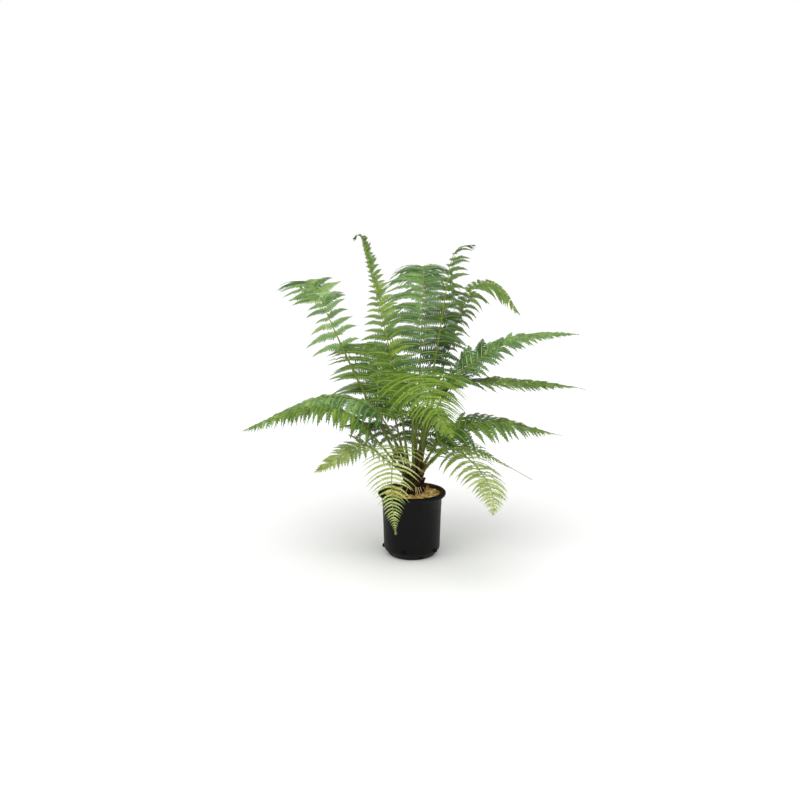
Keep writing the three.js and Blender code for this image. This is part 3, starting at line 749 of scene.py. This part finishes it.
class FERN_OT_trunk(bpy.types.Operator):
    """The fibrous trunk, with the bases of old stalks and its mat of hanging fibres"""

    bl_idname = "fern.trunk"
    bl_label = "Trunk"

    def execute(self, context):
        trunk = settings(context, "trunk")
        low, high = trunk_levels()
        centre = Vector((trunk.x, 0, 0))
        dome = 0.88  # share of the grid where the side ends and the top closes in
        flat = 0.97  # share beyond which the top has no relief
        under_fibres = 2.5 * MM

        def body(u, v):
            turn = math.tau * v
            rise = min(1.0, u / dome)
            radius = trunk_radius(trunk, rise, turn)
            if u > dome:
                radius *= math.sqrt(max(0.0, 1 - ((u - dome) / (1 - dome)) ** 1.5))
            around = Vector((math.cos(turn), math.sin(turn), 0))
            height = mix(low - 6 * MM, high - 2 * MM, rise)
            cord = noise.noise(Vector((9 * around.x, 9 * around.y, rise * 2.2))) * 3.4 * MM
            knots = noise.noise(Vector((4 * around.x, 4 * around.y, rise * 7))) * 3.5 * MM
            relief = (cord + knots) * (u < flat)
            return centre + around * (radius - under_fibres + relief) + Vector((0, 0, height))

        bm = bmesh.new()
        rolled_grid(bm, along=56, around=110, place=body)
        bmesh.ops.recalc_face_normals(bm, faces=bm.faces)
        fibre = as_hex(trunk.fibre)
        fibre_stops = [(0.3, shade(fibre, 0.5)), (0.5, fibre), (0.72, shade(fibre, 1.95))]
        finish_piece("trunk_body", bm, [fibre_material("Matted root fibre", fibre_stops, 4)],
                     ["trunk"])
        self.add_stubs(trunk, low, high, centre)
        self.add_fibres(trunk, low, high, centre)
        return {"FINISHED"}

    def add_stubs(self, trunk, low, high, centre):
        """Bases of old stalks, cut short, in the spiral that the fronds grew in."""
        rng = np.random.default_rng(5)
        bm = bmesh.new()
        for i in range(trunk.stubs):
            rise = mix(0.16, 1.0, (i / trunk.stubs) ** 0.85)
            turn = GOLDEN_ANGLE * i
            out = Vector((math.cos(turn), math.sin(turn), 0))
            foot = centre + out * (trunk_radius(trunk, rise, turn) - 5 * MM)
            foot.z = mix(low, high, rise) - 7 * MM
            reach = rng.uniform(15, 27) * MM
            thick = rng.uniform(4.2, 6.4) * MM
            lean = rng.uniform(18, 38)
            axis = (Vector((0, 0, 1)) * math.cos(math.radians(lean))
                    + out * math.sin(math.radians(lean)))
            side = axis.cross(out).normalized()
            face = side.cross(axis)
            cut = rng.uniform(-0.5, 0.5)

            def stub(u, v):
                turn_v = math.tau * v
                if u < STUB_END:
                    width = thick * (1.25 - 0.35 * u)
                else:
                    width = thick * 0.95 * (1 - u) / (1 - STUB_END)
                along = min(u, STUB_END) / STUB_END * reach
                along += (cut * math.cos(turn_v) * width if u > 0.75 else 0)
                return (foot + axis * along + side * math.cos(turn_v) * width
                        + face * math.sin(turn_v) * width * 0.75)

            rolled_grid(bm, along=7, around=9, place=stub)
        bmesh.ops.recalc_face_normals(bm, faces=bm.faces)
        stub_tone = as_hex(trunk.stub)
        stops = [(0.3, shade(stub_tone, 0.5)), (0.5, stub_tone), (0.72, shade(stub_tone, 1.75))]
        finish_piece("old_stalk_bases", bm, [fibre_material("Dead stalk base", stops, 3)])

    def add_fibres(self, trunk, low, high, centre):
        """Fine roots that hang down the trunk and hold its shape."""
        rng = np.random.default_rng(8)
        bm = bmesh.new()
        for _ in range(trunk.fibres):
            turn = rng.uniform(0, math.tau)
            rise = rng.uniform(0.02, 1.0) ** 0.8
            reach = rng.uniform(9, 24) * MM
            lift = rng.uniform(-0.5, 4.5) * MM
            drift = rng.normal(0, 0.12)
            points = []
            for step in range(4):
                here = rise - step / 3 * reach / (high - low)
                here = max(here, 0.0)
                angle = turn + drift * step / 3
                radius = trunk_radius(trunk, here, angle) + lift * (0.4 + 0.6 * step / 3)
                points.append(centre + Vector((radius * math.cos(angle), radius * math.sin(angle),
                                               mix(low, high, here) - 0.5 * MM)))
            add_strand(bm, points, rng.uniform(0.7, 1.5) * MM,
                       Vector((math.cos(turn), math.sin(turn), 0)), int(rng.random() < 0.35))
        dark = [(0.3, "#120C07"), (0.55, "#241810"), (0.75, "#3D2A1B")]
        tawny = [(0.3, "#3A2412"), (0.55, "#5E3F20"), (0.75, "#876136")]
        finish_piece(
            "trunk_fibres", bm,
            [fibre_material("Dark root fibre", dark, 3), fibre_material("Tawny fibre", tawny, 3)],
        )


# ---- Courses of the stalks --------------------------------------------------------------------

HOOK_FROM = 0.93  # share of the rib at which a hooked tip starts to curl
SWAY_EASE = 1.5  # how late along the rib its sway comes in
COIL_EASE = 1.5  # how much tighter a crozier coils towards its middle
RING_GAP = 11  # mm along a rib between the rings of its mesh


class Course:
    """The course of a rib: its points, directions and side directions along its length."""

    STEPS = 240

    def __init__(self, foot, length_m, tilt_at, heading_at):
        self.shares = np.linspace(0, 1, self.STEPS + 1)
        middle = (self.shares[1:] + self.shares[:-1]) / 2
        steps = self.directions(middle, tilt_at, heading_at) * length_m / self.STEPS
        self.points = np.vstack([foot, foot + np.cumsum(steps, 0)])
        self.along = self.directions(self.shares, tilt_at, heading_at)
        turn = np.radians(heading_at(self.shares))
        self.side = np.stack([-np.sin(turn), np.cos(turn), np.zeros_like(turn)], 1)
        self.face = unit(np.cross(self.along, self.side))

    @staticmethod
    def directions(shares, tilt_at, heading_at):
        """Unit vectors along the course at these shares of its length."""
        tilt, turn = np.radians(tilt_at(shares)), np.radians(heading_at(shares))
        return np.stack([np.sin(tilt) * np.cos(turn), np.sin(tilt) * np.sin(turn), np.cos(tilt)], 1)

    def at(self, share):
        """Point, along, side and face at a share of the length."""
        share = min(max(share, 0.0), 1.0)
        return [np.array([np.interp(share, self.shares, values[:, k]) for k in range(3)])
                for values in (self.points, self.along, self.side, self.face)]


def crown_point(context, angle, radius):
    """A stalk's foot, sunk in the trunk's top."""
    trunk, crown = settings(context, "trunk"), settings(context, "crown")
    top = trunk_levels()[1]
    turn = math.radians(angle)
    return np.array([trunk.x + radius * math.cos(turn), radius * math.sin(turn), top - crown.sink])


def frond_course(context, frond):
    """The course of a frond's stalk and rib."""
    crown = settings(context, "crown")
    foot = crown_point(context, frond["foot"], getattr(crown, frond["ring"]))

    def tilt_at(share):
        hook = frond["hook"] * smooth(share, HOOK_FROM, 1)
        return mix(frond["lean"], frond["tip"], smooth(share, *frond["bend"])) + hook

    def heading_at(share):
        return frond["heading"] + frond["sway"] * np.asarray(share) ** SWAY_EASE

    return Course(foot, frond["length"] * MM, tilt_at, heading_at)


def crozier_course(context, row):
    """The course of a coiled young frond."""
    foot_angle, foot_radius, heading, lean, reach, coil, start, _ = row
    foot = crown_point(context, foot_angle, foot_radius * MM)

    def tilt_at(share):
        return lean + coil * np.maximum(0, (share - start) / (1 - start)) ** COIL_EASE

    return Course(foot, reach * MM, tilt_at, lambda share: heading + 0 * np.asarray(share))


def sweep(bm, course, rings, sides, radius_at, groove=0.0, start=0.0):
    """A tapering limb along a course, with a groove down its upper face."""

    def place(u, v):
        share = mix(start, 1.0, u)
        point, _, side, face = course.at(share)
        turn = math.tau * v
        radius = radius_at(share)
        if u == 0 or u == 1:
            radius = 0.0
        cut = 1 - groove * math.exp(-(((v - 0.25) / 0.09) ** 2))
        return Vector(
            point + side * math.cos(turn) * radius * cut + face * math.sin(turn) * radius * cut
        )

    rolled_grid(bm, rings, sides, place)


def add_scales(bm, rng, course, count, low, high, radius_at, reach, width):
    """Papery scales that stand off a limb, pointing up it."""
    for _ in range(count):
        share = mix(low, high, rng.random() ** 1.4)
        point, along, side, face = course.at(share)
        turn = rng.uniform(0, math.tau)
        out = side * math.cos(turn) + face * math.sin(turn)
        size = rng.uniform(0.6, 1.25) * reach
        lift = rng.uniform(0.15, 0.6)
        tip_way = unit(along + out * lift + rng.normal(0, 0.2, 3))
        foot = Vector(point + out * radius_at(share) * 0.95)
        points = [foot, foot + Vector(tip_way) * size * 0.5, foot + Vector(
            unit(tip_way + out * 0.3)) * size]
        add_strand(bm, points, width * rng.uniform(0.7, 1.3), Vector(out),
                   int(rng.random() < 0.4))


def scale_materials():
    """Papery scales: dark chestnut and tawny."""
    dark = [(0.3, "#24130A"), (0.55, "#3F2414"), (0.75, "#5C3820")]
    tawny = [(0.3, "#5A3719"), (0.55, "#855A2C"), (0.75, "#A67B45")]
    return [fibre_material("Chestnut scale", dark, 4), fibre_material("Tawny scale", tawny, 4)]


class FERN_OT_croziers(bpy.types.Operator):
    """Coiled young fronds in the crown, covered with brown scales"""

    bl_idname = "fern.croziers"
    bl_label = "Croziers"

    def execute(self, context):
        rng = np.random.default_rng(21)
        scales = bmesh.new()
        for name, row in CROZIERS.items():
            course = crozier_course(context, row)
            foot_radius = row[-1] * MM

            def radius_at(share):
                return foot_radius * mix(0.95, 0.42, share)

            bm = bmesh.new()
            sweep(bm, course, rings=90, sides=12, radius_at=radius_at, groove=0.25, start=0.08)
            bmesh.ops.recalc_face_normals(bm, faces=bm.faces)
            stops = [(0.3, "#2A190E"), (0.55, "#4C3A1D"), (0.78, "#66602C")]
            finish_piece(f"crozier_{name}", bm,
                         [fibre_material(f"Young frond {name}", stops, 5)],
                         [f"crozier_{name}"])
            add_scales(scales, rng, course, count=620, low=0.08, high=0.98,
                       radius_at=radius_at, reach=8 * MM, width=1.5 * MM)
        finish_piece("crozier_scales", scales, scale_materials())
        return {"FINISHED"}


class FERN_OT_stalks(bpy.types.Operator):
    """The stalks and ribs of the fronds, grooved and tapering, with scales at their feet"""

    bl_idname = "fern.stalks"
    bl_label = "Stalks and ribs"

    def execute(self, context):
        crown = settings(context, "crown")
        rng = np.random.default_rng(34)
        bm, scales = bmesh.new(), bmesh.new()
        for frond in FRONDS:
            course = frond_course(context, frond)
            bare = frond["bare"]

            def radius_at(share):
                if share < bare:
                    swell = 1 + 0.35 * math.exp(-share * frond["length"] / 22)
                    return mix(crown.stalk_foot, crown.stalk_neck, share / bare) * swell
                rest = (share - bare) / (1 - bare)
                return mix(crown.stalk_neck, crown.rib_tip, rest**0.8)

            rings = round(frond["length"] / RING_GAP)
            sweep(bm, course, rings, sides=8, radius_at=radius_at, groove=0.3)
            top = 0.16 if frond["ring"] == "outer" else 0.12
            add_scales(scales, rng, course, count=150, low=0.012, high=top,
                       radius_at=radius_at, reach=9 * MM, width=1.3 * MM)
        bmesh.ops.recalc_face_normals(bm, faces=bm.faces)
        material = stalk_material(as_hex(crown.stalk), as_hex(crown.rib))
        stalk_nodes = sorted(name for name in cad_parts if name.endswith("_stalk"))
        finish_piece("stalks_and_ribs", bm, [material], stalk_nodes)
        finish_piece("stalk_scales", scales, scale_materials())
        return {"FINISHED"}


# ---- Leaflets ---------------------------------------------------------------------------------

# The blade's outline: where it is widest, how much shorter its first leaflets are, and how its
# sides curve to the tip.
WIDEST = 0.22
SHORT_START = 0.3
OUTLINE_EASE = 1.4

# Spacing: the first leaflet's share of a pitch, the last one's share of the blade, and how
# quickly the pitch closes up.
FIRST_LEAFLET = 0.3
LAST_LEAFLET = 0.992
PITCH_EASE = 0.8

# Shares of the blade between which it rolls about its rib.
ROLL_SPAN = (0.3, 0.9)


class LeafletPattern:
    """A flat leaflet of so many lobes: a grid with its vein in the middle and its edge in lobes.

    station is each vertex's place along the leaflet, hand its side of the vein and edge how far
    out it is: small on the vein, and about 1 at a lobe's end."""

    SEGMENTS = 3  # per lobe: the notch, the lobe's back and its point
    EDGE = (0.26, 0.95, 1.05)
    NUDGE = (0.0, 0.12, 0.42)  # along the leaflet, in lobes
    VEIN = 0.055

    def __init__(self, lobes):
        self.lobes = lobes
        bm = bmesh.new()
        bmesh.ops.create_grid(bm, x_segments=lobes * self.SEGMENTS, y_segments=3, size=0.5)
        grid = np.array([vert.co for vert in bm.verts])
        column = np.rint((grid[:, 0] + 0.5) * lobes * self.SEGMENTS).astype(int)
        row = np.rint((grid[:, 1] + 0.5) * 3).astype(int)
        self.outer = (row == 0) | (row == 3)
        phase = column % self.SEGMENTS
        self.hand = np.where(row < 2, -1.0, 1.0)
        self.edge = np.where(self.outer, np.array(self.EDGE)[phase], self.VEIN)
        self.lobe = np.minimum(column // self.SEGMENTS, lobes - 1)
        nudge = np.where(self.outer, np.array(self.NUDGE)[phase], 0.0)
        self.station = np.clip((column / self.SEGMENTS + nudge) / lobes, 0, 1)
        for face in bm.faces:
            face.material_index = int(abs(face.calc_center_median().y) < 0.1)
        self.mesh = bpy.data.meshes.new("leaflet_pattern")
        bm.to_mesh(self.mesh)
        bm.free()
        self.is_vein = np.zeros(len(self.mesh.polygons), int)
        self.mesh.polygons.foreach_get("material_index", self.is_vein)

    def placed(self, leaflet, rng):
        """The pattern's vertices bent along a leaflet's own curve."""
        s = self.station
        foot, bend, tip = leaflet["curve"]
        centre = (np.outer((1 - s) ** 2, foot) + np.outer(2 * s * (1 - s), bend)
                  + np.outer(s**2, tip))
        tangent = unit(np.outer(1 - s, bend - foot) + np.outer(s, tip - bend))
        upper = unit(leaflet["upper"])
        across = unit(np.cross(upper, tangent))
        normal = unit(np.cross(tangent, across))
        width = leaflet["half"] * np.minimum(1, 0.72 + 2.2 * s) * (1 - s**2) ** 1.15
        out = self.edge * width * (1 + rng.normal(0, 0.07, self.lobes)[self.lobe])
        droop = rng.normal(leaflet["cup"], 0.14, self.lobes)[self.lobe]
        lower = np.where(self.outer, out * droop, 0.4 * MM * (1 - s))
        return centre + across * (out * self.hand)[:, None] - normal * lower[:, None]


def blade_outline(frond, share):
    """Leaflet length along the blade, as a share of the longest."""
    rise = 1 - SHORT_START * (1 - smooth(share, 0, WIDEST))
    beyond = max(0.0, (share - WIDEST) / (1 - WIDEST))
    return rise * (1 - beyond**OUTLINE_EASE) ** frond["taper"]


def leaflet_places(frond, crown):
    """Shares of the blade at which leaflets stand, from its start to its tip."""
    blade = frond["length"] * MM * (1 - frond["bare"])
    along = FIRST_LEAFLET * crown.first_pitch
    while along < blade * LAST_LEAFLET:
        share = along / blade
        yield share
        common = mix(crown.first_pitch, crown.last_pitch, share**PITCH_EASE)
        along += mix(*frond["pitch"], share) * common


class FERN_OT_fronds(bpy.types.Operator):
    """The fronds' leaflets, each lobed and bent under its own weight, in greens dealt by spray"""

    bl_idname = "fern.fronds"
    bl_label = "Fronds"

    PATTERN_LOBES = (2, 3, 5, 7, 9, 11, 14, 17, 20, 24, 28)
    SHORTEST = 6 * MM
    PLACE_SPREAD = 0.0015  # in shares of the rib
    ROLL_SPREAD = 3  # degrees
    FORWARD_SPREAD = 3.5  # degrees
    SAG_SPREAD = 0.14
    LENGTH_SPREAD = 0.045
    BROKEN_CHANCE = 0.015  # of a leaflet that lost its tip
    SPENT_CHANCE = 0.003  # of a leaflet that died back

    def execute(self, context):
        patterns = [LeafletPattern(lobes) for lobes in self.PATTERN_LOBES]
        greens = {
            palette: [
                leaf_material(f"Fern leaflet {palette} {i}",
                              as_hex(getattr(settings(context, "greens"), f"{palette}_{i}")))
                for i in range(1, len(values) + 1)
            ]
            for palette, values in PALETTES.items()
        }
        spent = leaf_material("Fern leaflet spent", as_hex(settings(context, "crown").spent))
        vein = vein_material()
        for number, frond in enumerate(FRONDS, 1):
            materials = [*greens[frond["palette"]], spent, vein]
            self.grow(context, number, frond, patterns, materials)
        for pattern in patterns:
            bpy.data.meshes.remove(pattern.mesh)
        return {"FINISHED"}

    def grow(self, context, number, frond, patterns, materials):
        """One frond's leaflets, as one piece in place of the frame's blade."""
        crown = settings(context, "crown")
        rng = np.random.default_rng(100 + number)
        course = frond_course(context, frond)
        blade = frond["length"] * MM * (1 - frond["bare"])
        bm = bmesh.new()
        points, slots = [], []
        vein_index = len(materials) - 1
        places = [*leaflet_places(frond, crown), 1.0]
        for place, after in zip(places, places[1:]):
            for hand in (1, -1):
                leaflet = self.leaflet(frond, course, place, hand, (after - place) * blade, rng)
                wanted = leaflet["length"] / crown.lobe
                pattern = min(patterns, key=lambda p: abs(p.lobes - wanted))
                bm.from_mesh(pattern.mesh)
                points.append(pattern.placed(leaflet, rng))
                green = self.pick_green(number, frond, place, hand, vein_index - 2, rng)
                slots.append(np.where(pattern.is_vein == 1, vein_index, green))
        mesh = bpy.data.meshes.new("leaflets")
        bm.to_mesh(mesh)
        bm.free()
        mesh.vertices.foreach_set("co", np.vstack(points).ravel())
        stem = f"frond_{number:02d}_{frond['name']}"
        blades = [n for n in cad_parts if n.startswith(stem) and "_blade" in n]
        dress_piece(stem + "_leaflets", mesh, materials, blades)
        mesh.polygons.foreach_set("material_index", np.concatenate(slots))
        mesh.update()

    def leaflet(self, frond, course, place, hand, pitch, rng):
        """One leaflet's curve from the rib, its upper side and its width."""
        share = mix(frond["bare"], 1.0, place)
        point, along, side, face = course.at(share + rng.normal(0, self.PLACE_SPREAD))
        roll = mix(*frond["roll"], smooth(place, *ROLL_SPAN)) + rng.normal(0, self.ROLL_SPREAD)
        roll = math.radians(roll)
        side, face = (side * math.cos(roll) + face * math.sin(roll),
                      face * math.cos(roll) - side * math.sin(roll))
        forward = mix(*frond["forward"], place) + rng.normal(0, self.FORWARD_SPREAD)
        forward = math.radians(forward)
        way = side * hand * math.cos(forward) + along * math.sin(forward)
        sag = frond["sag"] * rng.normal(1, self.SAG_SPREAD)
        reach = frond["spread"] * MM * blade_outline(frond, place)
        reach *= rng.normal(1, self.LENGTH_SPREAD)
        shares = frond["hands"][hand < 0]
        reach *= np.interp(place, np.linspace(0, 1, len(shares)), shares)
        reach = max(reach, self.SHORTEST)
        if rng.random() < self.BROKEN_CHANCE:
            reach *= rng.uniform(0.55, 0.85)
        chord = unit(way - WORLD_UP * sag)
        bend = point + way * reach * 0.5 + WORLD_UP * reach * rng.normal(0.12, 0.04)
        tip = point + chord * reach + along * reach * rng.normal(0.05, 0.03)
        upper = (face + WORLD_UP * 0.3) + along * rng.normal(0, 0.14)
        upper = upper if hand > 0 else -upper
        for_length = min(0.1 * reach + 4.4 * MM, 0.42 * reach)
        for_room = 0.66 * pitch + 3.4 * MM
        return {
            "curve": (point, bend, tip), "length": reach, "upper": upper,
            "half": frond["width"] * min(for_length, for_room),
            "cup": rng.normal(0.22, 0.1) * hand,
        }

    def pick_green(self, number, frond, place, hand, last, rng):
        """The green of a leaflet: it drifts along the frond, and few leaflets stand out."""
        if rng.random() < self.SPENT_CHANCE:
            return last + 1
        drift = noise.noise(Vector((place * 3.1, number * 7.7, hand))) * 1.5
        return int(np.clip(round(mix(*frond["green"], place) + drift + rng.normal(0, 0.35)), 0, last))


# ---- Stage ------------------------------------------------------------------------------------


class FERN_OT_stage(bpy.types.Operator):
    """Pale floor, soft lights and the camera"""

    bl_idname = "fern.stage"
    bl_label = "Stage"

    CAMERA_PLACE = (-0.044, -3.2, 1.145)
    CAMERA_DOWN = 10.07  # degrees under the level
    CAMERA_LENS = 40.5  # mm, on the default 36 mm sensor

    def execute(self, context):
        scene = context.scene
        self.add_floor()
        self.add_sun("Key", place=(-0.3, -0.6, 0.9), strength=1.5, angle=70)
        self.add_sun("Sky", place=(0.1, -0.12, 1.0), strength=2.6, angle=140)
        self.add_sun("Fill", place=(0.7, -0.7, 0.35), strength=0.6, angle=60)
        world = bpy.data.worlds.new("Studio")
        world.use_nodes = True
        background = world.node_tree.nodes["Background"]
        background.inputs["Color"].default_value = (1, 1, 1, 1)
        scene.world = world
        world.cycles_visibility.diffuse = False
        world.cycles_visibility.glossy = False
        scene.view_settings.view_transform = "Standard"
        data = bpy.data.cameras.new("Camera")
        data.lens = self.CAMERA_LENS
        camera = bpy.data.objects.new("Camera", data)
        camera.location = self.CAMERA_PLACE
        camera.rotation_euler = (math.radians(90 - self.CAMERA_DOWN), 0, 0)
        scene.collection.objects.link(camera)
        scene.camera = camera
        return {"FINISHED"}

    def add_floor(self):
        """A wide floor of white paper."""
        bm = bmesh.new()
        bmesh.ops.create_circle(bm, cap_ends=True, segments=64, radius=40)
        mesh = bpy.data.meshes.new("floor")
        bm.to_mesh(mesh)
        bm.free()
        material, _, shader = new_material("White paper floor", Roughness=0.9)
        shader.inputs["Base Color"].default_value = linear("#F7F7F6")
        mesh.materials.append(material)
        floor = bpy.data.objects.new("floor", mesh)
        bpy.context.scene.collection.objects.link(floor)

    def add_sun(self, name, place, strength, angle):
        """A soft light from far off, in the direction of place."""
        data = bpy.data.lights.new(name, "SUN")
        data.energy = strength
        data.angle = math.radians(angle)
        light = bpy.data.objects.new(name, data)
        light.rotation_euler = Vector(place).to_track_quat("Z", "Y").to_euler()
        bpy.context.scene.collection.objects.link(light)


class FERN_PT_panel(bpy.types.Panel):
    """The tree fern's pieces and their sizes"""

    bl_idname = "FERN_PT_panel"
    bl_label = "Tree fern"
    bl_space_type = "VIEW_3D"
    bl_region_type = "UI"
    bl_category = "Tree fern"

    def draw(self, context):
        for operator in OPERATORS:
            self.layout.operator(operator.bl_idname)
        for name, group in SETTINGS.items():
            box = self.layout.box()
            box.label(text=name.capitalize())
            for key in group.__annotations__:
                box.prop(settings(context, name), key)


OPERATORS = (FERN_OT_pot, FERN_OT_mulch, FERN_OT_trunk, FERN_OT_croziers, FERN_OT_stalks,
             FERN_OT_fronds, FERN_OT_stage)


def register():
    for cls in (*SETTINGS.values(), *OPERATORS, FERN_PT_panel):
        bpy.utils.register_class(cls)
    for name, group in SETTINGS.items():
        setattr(bpy.types.Scene, "fern_" + name, bpy.props.PointerProperty(type=group))


def unregister():
    for name in SETTINGS:
        delattr(bpy.types.Scene, "fern_" + name)
    for cls in reversed((*SETTINGS.values(), *OPERATORS, FERN_PT_panel)):
        bpy.utils.unregister_class(cls)


def main():
    """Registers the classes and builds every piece."""
    register()
    for operator in OPERATORS:
        group, name = operator.bl_idname.split(".")
        getattr(getattr(bpy.ops, group), name)()


if __name__ == "__main__":
    main()
